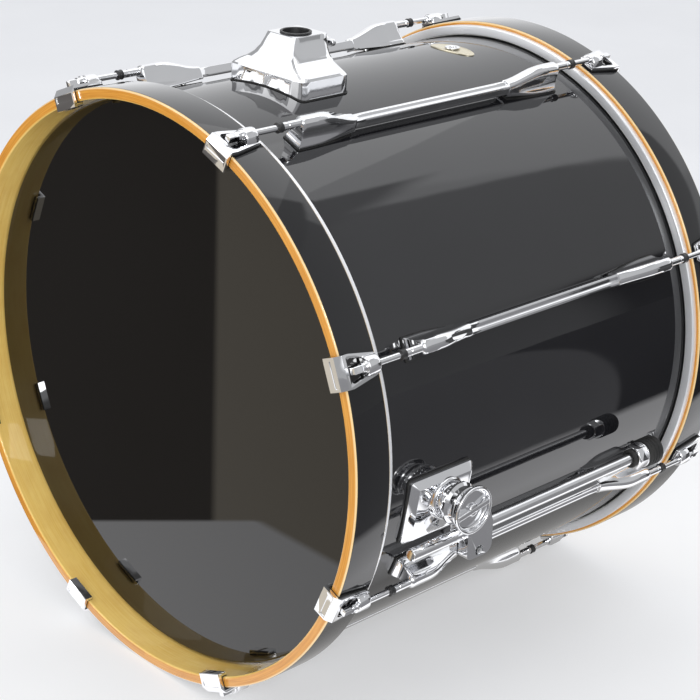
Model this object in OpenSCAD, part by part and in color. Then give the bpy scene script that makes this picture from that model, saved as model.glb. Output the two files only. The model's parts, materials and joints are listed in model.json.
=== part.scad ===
// Bass drum, 22 by 18 inches, eight lugs, with folding spurs and a tom mount.
// The drum lies on its two hoops. X runs across it, Y from the front head (-Y) to the
// batter head (+Y), Z up. The origin is on the floor under the middle of the drum.
// Sizes are in millimetres. Angles go round the drum's axis from the top, towards +X.

/* [Drum] */
// Outer radius of the hoops, which is also the height of the drum's axis
hoop_r = 293; // [291:0.5:295]
// Distance between the outer faces of the two hoops
drum_depth = 522; // [516:1:530]
// Thickness of a hoop, measured away from the axis
hoop_thick = 11; // [10:0.5:11]
// Width of a hoop along the axis
hoop_w = 41; // [40:0.5:42]
// Outer radius of the shell
shell_r = 278; // [277.5:0.5:278]
// Wall of the shell
shell_wall = 7; // [6:0.5:9]

/* [Lugs and rods] */
// Number of lugs around the shell
lug_count = 8; // [8:8]
// Distance of the tension rods from the drum's axis
rod_circle = 300.5; // [300:0.25:301]
// Radius of a tension rod
rod_r = 3; // [2.8:0.1:3]
// Height of a lug's crest, from the drum's axis
lug_peak = 306; // [305:0.5:307]
// Distance of a lug's tip from the middle of the drum
lug_tip = 175; // [172:1:178]

/* [Spurs] */
// Angle of a spur bracket round the drum
spur_angle = 99; // [97:1:101]
// Distance of the swivel axis in front of the middle of the drum
swivel_y = 139; // [136:1:142]
// Depth of the swivel axis under the drum's axis
swivel_drop = 37; // [35:1:39]
// Depth of a folded leg under the drum's axis
leg_drop = 70; // [69:1:71]
// Distance of a leg from the middle plane of the drum
leg_x = 300; // [299.5:0.5:301]
// Radius of a leg tube
leg_r = 6; // [5.5:0.5:6]
// Length of a leg tube
leg_len = 326; // [300:1:330]

/* [Tom mount] */
// Width of the mount's base across the drum
mount_w = 104; // [100:1:108]
// Length of the mount's base along the drum
mount_l = 60; // [58:1:62]
// Distance of the base's centre in front of the middle of the drum
mount_y = 83; // [80:1:86]
// Radius of the socket that takes the tom holder's post
socket_r = 12.8; // [12.7:0.05:12.9]
// Height of the tower's top above the drum's axis
tower_top = 325; // [322:1:328]

/* [Hidden] */
$fn = 64;
ring_fn = 180;

// Colours
black_gloss = [0.04, 0.04, 0.045];
amber = [0.80, 0.52, 0.13];
chrome = [0.80, 0.81, 0.83];
rubber = [0.06, 0.06, 0.06];
steel = [0.62, 0.63, 0.65];
alloy = [0.74, 0.75, 0.77];

// Positions along the axis, counted from the middle of the drum
hoop_out = drum_depth / 2;
hoop_in = hoop_out - hoop_w;
hoop_bore = hoop_r - hoop_thick;
shell_half = hoop_in + 8.6;
film = 0.5;
flesh_len = 9.5;
flesh_r = hoop_bore + 5.5;
flesh_bore = shell_r + 1.9;
gasket = 1.2;
lug_base = shell_r + gasket;

// Claws: distances from a hoop's outer face, positive towards the middle of the drum
claw_hook = -5;
claw_face = -1.5;
claw_end = 36.5;
bridge = 20;
window = 3.5;
claw_wide = 6;
claw_half = 15;
claw_tail = 10;
claw_top = rod_circle + 5.5;
pad = 1.5;

// Tension rods and their nuts
rod_len = 80;
nut_r = 3.9;
nut_start = 66.5;
nut_len = 53;
lug_screw_y = 125;
screw_r = 3;

// Lugs
bar_foot = shell_r + 5;
bar_top = shell_r + 15;
bar_half = 5.4;
end_start = 106;
peak_y = 150;

// Spurs
plate_y = 142.5;
plate_l = 79;
plate_w = 66;
plate_top = 287;
block_front = 136;
block_rear = 103;
block_in = leg_x - 10;
block_out = leg_x + 12;
block_bottom = 93;
pinch_y = 120;
pinch_drop = 86.5;
knob_r = 23;
knob_h = 8.5;
boss_end = leg_x - 2.5;
leg_front = 198;
foot_y = leg_len - leg_front;
bolt_dx = 22;
bolt_dy = 28;

// Tom mount
tower_y = 75;
tower_r = 22;
skirt_top = 291;
slope_top = 315;
wing_z = 312;
liner_r = 14.5;
mount_bolt_x = 38;
mount_bolt_y = 20;
vent_y = 145;
vent_r = 5;

lug_step = 360 / lug_count;
lug_angles = [for (i = [0:lug_count - 1]) (i + 0.5) * lug_step];

// ---------- frames ----------

// Local frame at an angle round the drum: X round it, Y along it, Z away from its axis
module around(angle) { translate([0, 0, hoop_r]) rotate([0, angle, 0]) children(); }

// Turns a shape drawn round Z onto the drum's axis, with Z towards the batter head
module on_axis() { translate([0, 0, hoop_r]) rotate([-90, 0, 0]) children(); }

// Heights are counted from the drum's axis
module from_axis() { translate([0, 0, hoop_r]) children(); }

module at_lugs() { for (a = lug_angles) around(a) children(); }

module rear() { mirror([0, 1, 0]) children(); }

module both_ends() {
    children();
    rear() children();
}

// side = 1 for the right spur, -1 for the left one
module on_side(side) {
    if (side > 0) children();
    else mirror([1, 0, 0]) children();
}

// A rod or hole along Y, from y0 to y1, at a height over the local origin
module along_y(r, y0, y1, x = 0, z = 0) {
    translate([x, y0, z]) rotate([-90, 0, 0]) cylinder(r = r, h = y1 - y0);
}

// A rod or hole along X, from x0 to x1
module along_x(r, x0, x1, y = 0, z = 0) {
    translate([x0, y, z]) rotate([0, 90, 0]) cylinder(r = r, h = x1 - x0);
}

// An outline of (y, z) points, drawn out along X
module across(points, x0, x1) {
    translate([x0, 0, 0]) rotate([90, 0, 90]) linear_extrude(x1 - x0) polygon(points);
}

// An outline of (x, z) points, drawn out along Y
module lengthways(points, y0, y1) {
    translate([0, y1, 0]) rotate([90, 0, 0]) linear_extrude(y1 - y0) polygon(points);
}

// A ring round the drum's axis in the local frame
module drum_ring(r0, r1, y0, y1) {
    difference() {
        translate([0, y0, 0]) rotate([-90, 0, 0]) cylinder(r = r1, h = y1 - y0, $fn = ring_fn);
        translate([0, y0 - 1, 0]) rotate([-90, 0, 0])
            cylinder(r = r0, h = y1 - y0 + 2, $fn = ring_fn);
    }
}

// Corner arc of an outline: centre, radius, first and last angle
function arc(cx, cy, r, a0, a1, n = 4) =
    [for (i = [0:n]) [cx + r * cos(a0 + (a1 - a0) * i / n), cy + r * sin(a0 + (a1 - a0) * i / n)]];

// Rectangle with rounded corners, as an outline
function rounded(x0, x1, y0, y1, r) = concat(
    arc(x1 - r, y1 - r, r, 0, 90), arc(x0 + r, y1 - r, r, 90, 180),
    arc(x0 + r, y0 + r, r, 180, 270), arc(x1 - r, y0 + r, r, 270, 360));

// ---------- shell, hoops and heads ----------

module shell() {
    edge = 4.5;
    wall_in = shell_r - shell_wall;
    half_profile = [
        [wall_in, shell_half - edge], [wall_in + edge, shell_half],
        [shell_r - 1.2, shell_half], [shell_r, shell_half - 1.2]];
    profile = concat(half_profile,
        [for (i = [3:-1:0]) [half_profile[i][0], -half_profile[i][1]]]);
    color(black_gloss) difference() {
        on_axis() rotate_extrude($fn = ring_fn) polygon(profile);
        at_lugs() both_ends() translate([0, -lug_screw_y, wall_in - 5])
            cylinder(r = screw_r + 0.25, h = shell_wall + 10);
        for (side = [-1, 1]) spur_bolt_places(side)
            translate([0, 0, wall_in - 5]) cylinder(r = screw_r + 0.25, h = shell_wall + 10);
        mount_bolt_places()
            translate([0, 0, wall_in - 5]) cylinder(r = screw_r + 0.25, h = shell_wall + 10);
        from_axis() translate([0, -tower_y, wall_in - 10])
            cylinder(r = liner_r + 0.5, h = shell_wall + 20);
        around(0) translate([0, vent_y, wall_in - 5])
            cylinder(r = vent_r + 0.2, h = shell_wall + 10);
    }
}

module hoop() {
    color(amber) on_axis() rotate_extrude($fn = ring_fn)
        polygon(rounded(hoop_bore, hoop_r, hoop_in, hoop_out, 2.2));
}

module front_hoop() { rear() hoop(); }
module rear_hoop() { hoop(); }

// Film over the bearing edge, down the collar and into the flesh hoop's groove
module head(tint) {
    collar = shell_r + 1.2;
    bead = hoop_in - 3;
    color(tint) on_axis() rotate_extrude($fn = ring_fn) polygon([
        [0, shell_half], [shell_r - 1, shell_half], [collar, shell_half - 2.2],
        [collar, bead - 2], [collar + 3.4, bead - 2], [collar + 3.4, bead],
        [collar + film, bead], [collar + film, shell_half - 1.9],
        [shell_r - 0.7, shell_half + film], [0, shell_half + film]]);
}

module front_head() { rear() head([0.05, 0.045, 0.04]); }
module rear_head() { head([0.92, 0.92, 0.90]); }

module flesh_hoop() {
    groove = hoop_in - 3;
    color(alloy) on_axis() rotate_extrude($fn = ring_fn) polygon([
        [flesh_bore, hoop_in - flesh_len], [flesh_r - 0.8, hoop_in - flesh_len],
        [flesh_r, hoop_in - flesh_len + 0.8], [flesh_r, hoop_in],
        [flesh_bore, hoop_in], [flesh_bore, groove + 0.1],
        [shell_r + 4.8, groove + 0.1], [shell_r + 4.8, groove - 2.1],
        [flesh_bore, groove - 2.1]]);
}

module front_flesh_hoop() { rear() flesh_hoop(); }
module rear_flesh_hoop() { flesh_hoop(); }

// ---------- lugs ----------

// Half of a lug's front end in plan: it widens to a square end with small round corners
function lug_plan(grow) = let (w0 = bar_half + grow, w1 = 10.8 + grow, y1 = lug_tip - 15)
    let (side = concat(
        [for (t = [0:0.25:1]) [w0 + (w1 - w0) * sin(90 * t), -end_start - (y1 - end_start) * t]],
        [[w1, -lug_tip + 1.5 - grow], [w1 - 0.5, -lug_tip + 0.5 - grow], [w1 - 1.5, -lug_tip - grow]]))
    concat(side, [for (i = [len(side) - 1:-1:0]) [-side[i][0], side[i][1]]]);

module lug_end() {
    arch = concat(
        [for (t = [0:0.125:1]) [-end_start - (peak_y - end_start) * t,
            bar_top + (lug_peak - bar_top) * (1 - cos(180 * t)) / 2]],
        [for (a = [18:18:90]) [-peak_y - (lug_tip - peak_y + 1) * sin(a),
            lug_peak - 5 * (1 - cos(a))]]);
    intersection() {
        across(concat([[-end_start, 274]], arch, [[-lug_tip + 2, 274]]), -14, 14);
        translate([0, 0, 270]) linear_extrude(50) polygon(lug_plan(0));
        lengthways([[-11, 274], [-11, 281], [-9, 284.5], [-7.8, 289], [-7.4, 296], [-7.2, 301],
            [-5, 306.6], [5, 306.6], [7.2, 301], [7.4, 296], [7.8, 289], [9, 284.5], [11, 281],
            [11, 274]], -lug_tip - 5, -end_start);
    }
}

module lug() {
    difference() {
        union() {
            lengthways([[-bar_half, bar_foot], [bar_half, bar_foot], [bar_half, bar_top - 1.5],
                [bar_half - 1.5, bar_top], [1.6, bar_top], [0, bar_top - 1.6],
                [-1.6, bar_top], [1.5 - bar_half, bar_top], [-bar_half, bar_top - 1.5]],
                -end_start - 4, end_start + 4);
            both_ends() lug_end();
        }
        translate([0, -lug_tip - 10, 0]) rotate([-90, 0, 0])
            cylinder(r = lug_base, h = 2 * lug_tip + 20, $fn = ring_fn);
        both_ends() {
            along_y(nut_r + 0.05, -lug_tip - 5, nut_start + nut_len - hoop_out + 0.5, 0,
                rod_circle);
            translate([0, -lug_screw_y, 270]) cylinder(r = screw_r, h = 21);
        }
    }
}

module lugs() { color(chrome) at_lugs() lug(); }

module lug_gaskets() {
    color(rubber) at_lugs() both_ends() difference() {
        intersection() {
            drum_ring(shell_r + 0.02, lug_base - 0.02, -lug_tip - 10, -end_start + 5);
            translate([0, 0, 270]) linear_extrude(20) polygon(lug_plan(0.8));
        }
        translate([0, -lug_screw_y, 270]) cylinder(r = screw_r + 0.3, h = 20);
    }
}

module lug_screws() {
    shank_end = bar_foot + 7;
    head_under = shell_r - shell_wall - 1.7;
    color(steel) at_lugs() both_ends() translate([0, -lug_screw_y, 0]) {
        translate([0, 0, head_under - 4]) cylinder(r = 5.5, h = 4);
        translate([0, 0, head_under - 0.1]) cylinder(r = screw_r - 0.02, h = shank_end - head_under);
    }
}

module lug_washers() {
    color(steel) at_lugs() both_ends() translate([0, -lug_screw_y, shell_r - shell_wall - 1.65])
        difference() {
            cylinder(r = 8, h = 1.5);
            translate([0, 0, -1]) cylinder(r = screw_r + 0.3, h = 4);
        }
}

module swivel_nuts() {
    color(steel) at_lugs() both_ends() difference() {
        along_y(nut_r, nut_start - hoop_out, nut_start + nut_len - hoop_out, 0, rod_circle);
        along_y(rod_r + 0.05, nut_start - hoop_out - 1, nut_start + nut_len - hoop_out + 1, 0,
            rod_circle);
    }
}

// ---------- claws and rods ----------

// Claw seen from outside: wide at the hook, narrower at the far end
function claw_plan() = concat(
    [[-claw_half, claw_hook], [claw_half, claw_hook], [claw_half, claw_wide]],
    arc(claw_tail - 3, claw_end - 3, 3, 0, 90), arc(3 - claw_tail, claw_end - 3, 3, 90, 180),
    [[-claw_half, claw_wide]]);

// Opening of a claw between its front bar and the hump, which shows the hoop
function window_plan(grow) = concat(
    [[8.8 + grow, bridge + grow], [-8.8 - grow, bridge + grow]],
    arc(-7, window + 4, 4 + grow, 180, 270), arc(7, window + 4, 4 + grow, 270, 360));

// A thin windowed frame on the hoop, hooked over its edge, with a hump that takes the rod
module claw() {
    floor_r = hoop_r + pad + 0.05;
    frame_top = floor_r + 3;
    hump_r = 9.4;
    side_view = [[claw_hook, hoop_bore - 5], [claw_hook, frame_top - 6], [-0.5, frame_top],
        [claw_end, frame_top], [claw_end, hoop_r - 4], [claw_face, hoop_r - 4],
        [claw_face, hoop_bore - pad - 0.1], [5, hoop_bore - pad - 0.1], [5, hoop_bore - 4]];
    translate([0, -hoop_out, 0]) difference() {
        union() {
            intersection() {
                across(side_view, -claw_half, claw_half);
                translate([0, 0, 270]) linear_extrude(45) polygon(claw_plan());
            }
            lengthways(concat([[-hump_r, floor_r - 0.5], [hump_r, floor_r - 0.5]],
                arc(0, claw_top - hump_r, hump_r, 0, 180, 12)), bridge, claw_end - 2);
        }
        translate([0, claw_face, 0]) rotate([-90, 0, 0]) difference() {
            cylinder(r = floor_r, h = 60, $fn = ring_fn);
            translate([0, 0, -1]) cylinder(r = hoop_bore - pad, h = 62, $fn = ring_fn);
        }
        translate([0, 0, 260]) linear_extrude(60) polygon(window_plan(0));
        along_y(rod_r + 0.3, bridge - 5, claw_end + 5, 0, rod_circle);
    }
}

module front_claws() { color(chrome) at_lugs() claw(); }
module rear_claws() { color(chrome) at_lugs() rear() claw(); }

// Rubber between a claw and its hoop, folded over the hoop's edge
module claw_pad() {
    w = claw_half - 0.4;
    tail = claw_tail - 0.4;
    translate([0, -hoop_out, 0]) difference() {
        intersection() {
            union() {
                drum_ring(hoop_r + 0.05, hoop_r + pad, claw_face + 0.03, claw_end - 1);
                drum_ring(hoop_bore - pad + 0.05, hoop_r + pad, claw_face + 0.03, -0.05);
                drum_ring(hoop_bore - pad + 0.05, hoop_bore - 0.05, claw_face + 0.03, 5);
            }
            translate([0, 0, 270]) linear_extrude(40)
                polygon([[-w, -3], [w, -3], [w, claw_wide], [tail, claw_end - 3],
                    [tail, claw_end], [-tail, claw_end], [-tail, claw_end - 3],
                    [-w, claw_wide]]);
        }
        translate([0, 0, hoop_r - 4]) linear_extrude(20) polygon(window_plan(0.4));
    }
}

module claw_pads() { color(rubber) at_lugs() both_ends() claw_pad(); }

// Square drive, flange and shank, head towards the hoop
module rod() {
    drive = 3.1;
    flange = bridge - 2;
    color(chrome) translate([0, -hoop_out, rod_circle]) {
        translate([-drive, 4, -drive]) cube([2 * drive, flange - 3.9, 2 * drive]);
        along_y(4.4, flange - 4, flange);
        along_y(5.6, flange, bridge - 0.05);
        along_y(rod_r, bridge - 1, bridge + rod_len);
    }
}

module front_rod(i) { around(lug_angles[i - 1]) rod(); }
module rear_rod(i) { around(lug_angles[i - 1]) rear() rod(); }

module rod_washers() {
    color(rubber) at_lugs() both_ends() difference() {
        along_y(4.9, nut_start - 6.1 - hoop_out, nut_start - 0.1 - hoop_out, 0, rod_circle);
        along_y(rod_r + 0.05, nut_start - 8 - hoop_out, nut_start + 2 - hoop_out, 0, rod_circle);
    }
}

// ---------- tom mount ----------

module mount_bolt_places() {
    for (sx = [-1, 1], sy = [-1, 1])
        around(sx * asin(mount_bolt_x / shell_r))
            translate([0, -mount_y + sy * mount_bolt_y, 0]) children();
}

module tom_mount_base() {
    wx = mount_w / 2;
    wy = mount_l / 2;
    color(chrome) difference() {
        from_axis() union() {
            translate([0, -mount_y, 265]) linear_extrude(skirt_top - 265)
                polygon(rounded(-wx, wx, -wy, wy, 5));
            intersection() {
                lengthways([[-wx + 1.5, skirt_top - 2], [-wx + 1.5, skirt_top],
                    [-34, 302], [-27, 307], [-23, slope_top], [23, slope_top], [27, 307], [34, 302],
                    [wx - 1.5, skirt_top], [wx - 1.5, skirt_top - 2]],
                    -mount_y - wy, -mount_y + wy);
                across([[-mount_y - wy + 1.5, skirt_top - 2], [-mount_y - wy + 1.5, skirt_top],
                    [-tower_y - tower_r - 1, slope_top], [-mount_y + wy - 4, slope_top],
                    [-mount_y + wy - 1.5, skirt_top], [-mount_y + wy - 1.5, skirt_top - 2]],
                    -wx, wx);
            }
            translate([0, -tower_y, skirt_top - 5]) cylinder(r = tower_r, h = tower_top - skirt_top + 5);
            translate([0, 0, skirt_top - 5]) linear_extrude(tower_top - skirt_top + 5)
                polygon(rounded(-tower_r + 2, tower_r - 2, -tower_y - tower_r - 1, -tower_y, 2));
            along_y(8, -tower_y, 6 + tower_r - tower_y, 0, wing_z);
        }
        around(0) translate([0, -mount_y - 60, 0]) rotate([-90, 0, 0])
            cylinder(r = lug_base, h = 120, $fn = ring_fn);
        from_axis() {
            translate([0, -tower_y, 250]) cylinder(r = liner_r + 0.05, h = 90);
            along_y(6.1, -tower_y, 21.5 - tower_y, 0, wing_z);
            along_y(rod_r + 0.1, 20 - tower_y, 40 - tower_y, 0, wing_z);
        }
        mount_bolt_places() cylinder(r = screw_r, h = 289);
    }
}

module tom_mount_gasket() {
    color(rubber) difference() {
        from_axis() intersection() {
            drum_ring(shell_r + 0.02, lug_base - 0.02, -mount_y - 45, -mount_y + 45);
            translate([0, -mount_y, 265]) linear_extrude(20)
                polygon(rounded(-mount_w / 2 - 1, mount_w / 2 + 1, -mount_l / 2 - 1,
                    mount_l / 2 + 1, 6));
        }
        from_axis() translate([0, -tower_y, 250]) cylinder(r = liner_r + 0.3, h = 50);
        mount_bolt_places() cylinder(r = screw_r + 0.3, h = 289);
    }
}

module tom_mount_screws() {
    head_under = shell_r - shell_wall - 0.2;
    color(steel) mount_bolt_places() {
        translate([0, 0, head_under - 4]) cylinder(r = 5.5, h = 4);
        translate([0, 0, head_under - 0.1]) cylinder(r = screw_r - 0.02, h = 287.5 - head_under);
    }
}

// Plastic bush in the tower, with a window for the clamp shoe
module tom_socket_liner() {
    bottom = 284;
    color(rubber) from_axis() difference() {
        translate([0, -tower_y, 0]) union() {
            translate([0, 0, bottom]) cylinder(r = liner_r, h = tower_top - bottom + 1);
            translate([0, 0, tower_top + 0.02]) cylinder(r = 16.5, h = 1.5);
        }
        translate([0, -tower_y, bottom - 5]) cylinder(r = socket_r, h = 80);
        along_y(6.3, -tower_y, 21 - tower_y, 0, wing_z);
    }
}

module tom_clamp_shoe() {
    color(steel) from_axis() difference() {
        along_y(6, 12 - tower_y, 19.4 - tower_y, 0, wing_z);
        translate([0, -tower_y, 290]) cylinder(r = socket_r + 0.1, h = 40);
        along_y(rod_r + 0.2, 16.6 - tower_y, 25 - tower_y, 0, wing_z);
    }
}

module tom_wing_bolt() {
    hub_y = tower_r + 8 - tower_y;
    color(chrome) from_axis() {
        along_y(rod_r, 19.1 - tower_y, hub_y + 2, 0, wing_z);
        along_y(5.5, hub_y, hub_y + 10, 0, wing_z);
        translate([0, hub_y + 4, wing_z]) rotate([-90, 0, 0]) linear_extrude(5)
            polygon(concat(arc(12, 0, 3.5, -90, 90, 6), arc(-12, 0, 3.5, 90, 270, 6)));
    }
}

// ---------- badge and vent ----------

module badge() {
    half_w = 29;
    half_l = 12;
    color([0.75, 0.72, 0.62]) around(0) difference() {
        intersection() {
            drum_ring(shell_r + 0.05, shell_r + 1.1, vent_y - 20, vent_y + 20);
            translate([0, vent_y, 270]) linear_extrude(20)
                polygon([for (a = [0:12:348]) [half_w * cos(a), half_l * sin(a)]]);
        }
        translate([0, vent_y, 265]) cylinder(r = vent_r + 0.2, h = 20);
    }
}

module vent_grommet() {
    color(chrome) around(0) translate([0, vent_y, 0]) difference() {
        union() {
            translate([0, 0, shell_r - shell_wall - 1.5]) cylinder(r = vent_r, h = shell_wall + 3);
            translate([0, 0, shell_r + 1.2]) cylinder(r = vent_r + 3, h = 1.2);
            translate([0, 0, shell_r - shell_wall - 1.5]) cylinder(r = vent_r + 2.5, h = 1.2);
        }
        translate([0, 0, 250]) cylinder(r = vent_r - 1.2, h = 50);
    }
}

// ---------- spurs ----------

module spur_bolt_places(side) {
    for (sx = [-1, 1], sy = [-1, 1])
        around(side * (spur_angle + sx * asin(bolt_dx / shell_r)))
            translate([0, -plate_y + sy * bolt_dy, 0]) children();
}

module spur_bolts() {
    head_under = shell_r - shell_wall - 0.15;
    color(steel) for (side = [-1, 1]) spur_bolt_places(side) {
        translate([0, 0, head_under - 4]) cylinder(r = 5.5, h = 4);
        translate([0, 0, head_under - 0.1]) cylinder(r = screw_r - 0.02, h = 283 - head_under);
    }
}

module spur_bracket(side) {
    bevel = 6;
    hl = plate_l / 2;
    hw = plate_w / 2;
    color(chrome) difference() {
        union() {
            around(side * spur_angle) translate([0, -plate_y, 0]) intersection() {
                lengthways([[-hw, 265], [-hw, 280.5], [bevel - hw, plate_top],
                    [hw - bevel, plate_top], [hw, 280.5], [hw, 265]], -hl, hl);
                across([[-hl, 265], [-hl, 280.5], [bevel - hl, plate_top],
                    [hl - bevel, plate_top], [hl, 280.5], [hl, 265]], -hw, hw);
                translate([0, 0, 260]) linear_extrude(40) polygon(rounded(-hw, hw, -hl, hl, 4));
            }
            on_side(side) from_axis() {
                along_x(19, leg_x - 24, leg_x - 10.5, -swivel_y, -swivel_drop);
                along_x(15.5, leg_x - 12, boss_end, -swivel_y, -swivel_drop);
            }
        }
        from_axis() translate([0, -plate_y - 60, 0]) rotate([-90, 0, 0])
            cylinder(r = lug_base, h = 120, $fn = ring_fn);
        on_side(side) from_axis() along_x(4.05, leg_x - 12, boss_end + 5, -swivel_y, -swivel_drop);
        spur_bolt_places(side) cylinder(r = screw_r, h = 283.5);
    }
}

module spur_gasket(side) {
    hl = plate_l / 2 + 0.8;
    hw = plate_w / 2 + 0.8;
    color(rubber) difference() {
        intersection() {
            from_axis() drum_ring(shell_r + 0.02, lug_base - 0.02, -plate_y - 50, -plate_y + 50);
            around(side * spur_angle) translate([0, -plate_y, 260]) linear_extrude(40)
                polygon(rounded(-hw, hw, -hl, hl, 4));
        }
        spur_bolt_places(side) cylinder(r = screw_r + 0.3, h = 290);
    }
}

module spur_pivots() {
    color(steel) for (side = [-1, 1]) on_side(side) from_axis()
        along_x(4, leg_x - 11.9, block_out + 5, -swivel_y, -swivel_drop);
}

// Swivel hub and split block that grips the leg
module spur_clamp(side) {
    gap = 1;
    color(chrome) on_side(side) from_axis() difference() {
        union() {
            along_x(20.5, boss_end + 0.5, block_out - 0.1, -swivel_y, -swivel_drop);
            across([[-swivel_y - 16, -swivel_drop - 8], [-block_front, -block_bottom + 30],
                [-block_rear, -block_bottom + 30], [-block_rear - 6, -swivel_drop - 8],
                [-swivel_y + 16, -swivel_drop + 6]], boss_end + 0.5, block_out - 0.1);
            across(concat([[-block_front, 9 - leg_drop], [-block_front, 6 - block_bottom]],
                arc(-block_front + 6, 6 - block_bottom, 6, 180, 270),
                arc(-block_rear - 9, 9 - block_bottom, 9, 270, 360),
                [[-block_rear, 9 - leg_drop]]), block_in, block_out - 0.1);
        }
        along_y(leg_r + 0.05, -200, -50, leg_x, -leg_drop);
        translate([leg_x - gap, -200, -block_bottom - 10])
            cube([2 * gap, 150, block_bottom + 10 - leg_drop]);
        along_x(4.1, leg_x - 20, block_out + 5, -swivel_y, -swivel_drop);
        along_x(2.6, block_in - 5, block_out + 5, -pinch_y, -pinch_drop);
        along_x(4.8, block_out - 5, block_out + 5, -pinch_y, -pinch_drop);
    }
}

// Round turn-knob with a rim and a bar across its face
module spur_knob(side) {
    face = block_out + 0.1;
    color(chrome) on_side(side) from_axis() difference() {
        union() {
            along_x(knob_r, face, face + knob_h - 3, -swivel_y, -swivel_drop);
            difference() {
                along_x(knob_r, face + knob_h - 3.5, face + knob_h, -swivel_y, -swivel_drop);
                along_x(knob_r - 3, face + knob_h - 3.6, face + knob_h + 1, -swivel_y,
                    -swivel_drop);
            }
            translate([face + knob_h - 3.5, -swivel_y, -swivel_drop]) rotate([-25, 0, 0])
                translate([0, 1.5 - knob_r, -3]) cube([3, 2 * knob_r - 3, 6]);
        }
        along_x(4.1, face - 1, face + 5.1, -swivel_y, -swivel_drop);
    }
}

module pinch_bolt(side) {
    color(steel) on_side(side) from_axis() {
        along_x(2.5, block_in + 1, block_out - 4, -pinch_y, -pinch_drop);
        along_x(4.5, block_out - 4.9, block_out - 2.5, -pinch_y, -pinch_drop);
        translate([block_out - 3, -pinch_y - 2.6, -pinch_drop - 2.6]) cube([4, 5.2, 5.2]);
    }
}

module leg(side) {
    bore = leg_r - 1.5;
    color(chrome) on_side(side) from_axis() difference() {
        along_y(leg_r, -leg_front, foot_y, leg_x, -leg_drop);
        along_y(bore, -leg_front + 4, foot_y + 1, leg_x, -leg_drop);
    }
}

module spike(side) {
    r = leg_r - 1.55;
    color(steel) on_side(side) from_axis() {
        along_y(r, foot_y - 20, foot_y + 12, leg_x, -leg_drop);
        translate([leg_x, foot_y + 12, -leg_drop]) rotate([-90, 0, 0])
            cylinder(r1 = r, r2 = 0.4, h = 8);
    }
}

module foot_collar(side) {
    color(chrome) on_side(side) from_axis() difference() {
        union() {
            translate([leg_x, foot_y - 11, -leg_drop]) rotate([-90, 0, 0])
                cylinder(r = 11.5, h = 8, $fn = 6);
            along_y(13, foot_y - 3.5, foot_y, leg_x, -leg_drop);
        }
        along_y(leg_r + 0.1, foot_y - 20, foot_y + 5, leg_x, -leg_drop);
    }
}

// Rubber tip with the hole that lets the spike through, and its lock ring
module foot(side) {
    color(rubber) on_side(side) from_axis() {
        difference() {
            translate([leg_x, 0, -leg_drop]) rotate([-90, 0, 0]) rotate_extrude()
                polygon(concat([[4.7, foot_y + 0.1], [14.5, foot_y + 0.1]],
                    arc(12, foot_y + 18.6, 2.5, 0, 90), [[4.7, foot_y + 21.1]]));
            along_y(leg_r + 0.2, foot_y - 1, foot_y + 14, leg_x, -leg_drop);
        }
        difference() {
            along_y(13.5, foot_y - 16.1, foot_y - 11.1, leg_x, -leg_drop);
            along_y(leg_r + 0.1, foot_y - 20, foot_y - 5, leg_x, -leg_drop);
        }
    }
}

shell();
front_hoop();
rear_hoop();
front_head();
rear_head();
front_flesh_hoop();
rear_flesh_hoop();
lugs();
lug_gaskets();
lug_screws();
lug_washers();
swivel_nuts();
front_claws();
rear_claws();
claw_pads();
front_rod(1);  // front_rod_1
front_rod(2);  // front_rod_2
front_rod(3);  // front_rod_3
front_rod(4);  // front_rod_4
front_rod(5);  // front_rod_5
front_rod(6);  // front_rod_6
front_rod(7);  // front_rod_7
front_rod(8);  // front_rod_8
rear_rod(1);  // rear_rod_1
rear_rod(2);  // rear_rod_2
rear_rod(3);  // rear_rod_3
rear_rod(4);  // rear_rod_4
rear_rod(5);  // rear_rod_5
rear_rod(6);  // rear_rod_6
rear_rod(7);  // rear_rod_7
rear_rod(8);  // rear_rod_8
rod_washers();
tom_mount_base();
tom_mount_gasket();
tom_mount_screws();
tom_socket_liner();
tom_clamp_shoe();
tom_wing_bolt();
badge();
vent_grommet();
spur_bolts();
spur_pivots();
spur_bracket(1);  // right_spur_bracket
spur_gasket(1);  // right_spur_gasket
spur_clamp(1);  // right_spur_clamp
spur_knob(1);  // right_spur_knob
pinch_bolt(1);  // right_pinch_bolt
leg(1);  // right_leg
spike(1);  // right_spike
foot_collar(1);  // right_foot_collar
foot(1);  // right_foot
spur_bracket(-1);  // left_spur_bracket
spur_gasket(-1);  // left_spur_gasket
spur_clamp(-1);  // left_spur_clamp
spur_knob(-1);  // left_spur_knob
pinch_bolt(-1);  // left_pinch_bolt
leg(-1);  // left_leg
spike(-1);  // left_spike
foot_collar(-1);  // left_foot_collar
foot(-1);  // left_foot
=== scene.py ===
"""Looks for the bass drum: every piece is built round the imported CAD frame.

Lengths are in millimetres up to the moment when a mesh is made. Most fittings are drawn in
a local frame on the drum: X round it, Y along its axis (front head at -Y), Z away from the axis.
"""
import json
import math

import bmesh
import bpy
from mathutils import Matrix, Vector


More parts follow.
